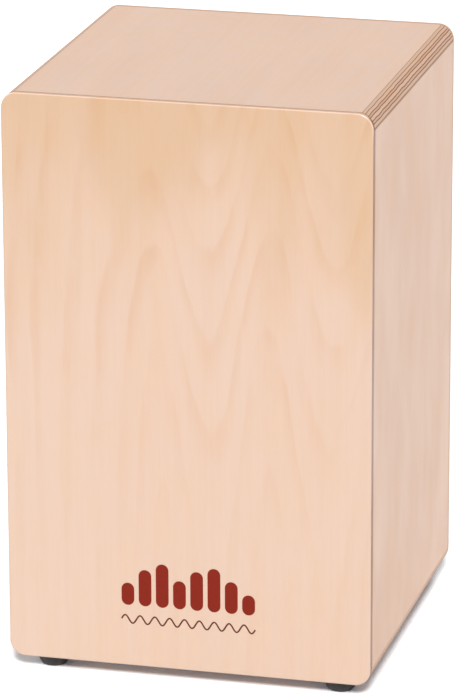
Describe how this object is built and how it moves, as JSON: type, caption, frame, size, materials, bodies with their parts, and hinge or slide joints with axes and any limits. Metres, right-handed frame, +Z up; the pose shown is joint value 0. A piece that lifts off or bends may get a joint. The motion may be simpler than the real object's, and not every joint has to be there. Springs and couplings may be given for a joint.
{
  "type": "cajon",
  "caption": "Upright plywood box drum with a thin struck front plate, a rear sound hole, domed rubber feet and inner snare wires that a lever swings clear of the plate.",
  "frame": {"origin": "on the floor under the middle of the drum: the centre of the bottom face of the bounding box, where the rubber feet stand", "axes": "+Z up from the floor to the seat; -Y out of the struck front plate, so +Y points to the back panel; +X to the right of somebody who looks at the front plate"},
  "size_m": [0.3, 0.302, 0.4855],
  "materials": {
    "front_veneer": "satin",
    "birch_ply": "satin",
    "back_ply": "matte",
    "brace_wood": "matte",
    "beech": "matte",
    "rubber_black": "matte",
    "wire_steel": "satin",
    "zinc_steel": "satin",
    "felt": "matte",
    "knob_plastic": "satin"
  },
  "bodies": {
    "box": {"front_plate": "front_veneer", "top_panel": "birch_ply", "bottom_panel": "birch_ply", "side_panel_left": "birch_ply", "side_panel_right": "birch_ply", "back_panel": "back_ply", "corner_brace_top_left": "brace_wood", "corner_brace_top_right": "brace_wood", "corner_brace_bottom_left": "brace_wood", "corner_brace_bottom_right": "brace_wood", "foot_front_left": "rubber_black", "foot_front_right": "rubber_black", "foot_rear_left": "rubber_black", "foot_rear_right": "rubber_black", "foot_washer_front_left": "zinc_steel", "foot_washer_front_right": "zinc_steel", "foot_washer_rear_left": "zinc_steel", "foot_washer_rear_right": "zinc_steel", "foot_screw_front_left": "zinc_steel", "foot_screw_front_right": "zinc_steel", "foot_screw_rear_left": "zinc_steel", "foot_screw_rear_right": "zinc_steel", "back_screw_1": "zinc_steel", "back_screw_2": "zinc_steel", "back_screw_3": "zinc_steel", "back_screw_4": "zinc_steel", "back_screw_5": "zinc_steel", "back_screw_6": "zinc_steel", "back_screw_7": "zinc_steel", "back_screw_8": "zinc_steel", "back_screw_9": "zinc_steel", "back_screw_10": "zinc_steel", "pivot_block_left": "beech", "felt_washer_left": "felt", "block_screw_left_1": "zinc_steel", "block_screw_left_2": "zinc_steel", "pivot_block_right": "beech", "felt_washer_right": "felt", "block_screw_right_1": "zinc_steel", "block_screw_right_2": "zinc_steel"},
    "snare_arm": {"snare_bar": "beech", "pivot_pin_left": "wire_steel", "pivot_pin_right": "wire_steel", "snare_fan_left": "wire_steel", "snare_fan_right": "wire_steel", "fan_screw_1": "zinc_steel", "fan_screw_2": "zinc_steel", "fan_screw_3": "zinc_steel", "fan_screw_4": "zinc_steel", "lever_rod": "wire_steel", "lever_knob": "knob_plastic"}
  },
  "joints": [
    {"name": "snare_pivot", "type": "hinge", "parent": "box", "child": "snare_arm", "pos_m": [0, -0.12815, 0.4], "axis": [1, 0, 0], "range_deg": [0, 20]}
  ]
}
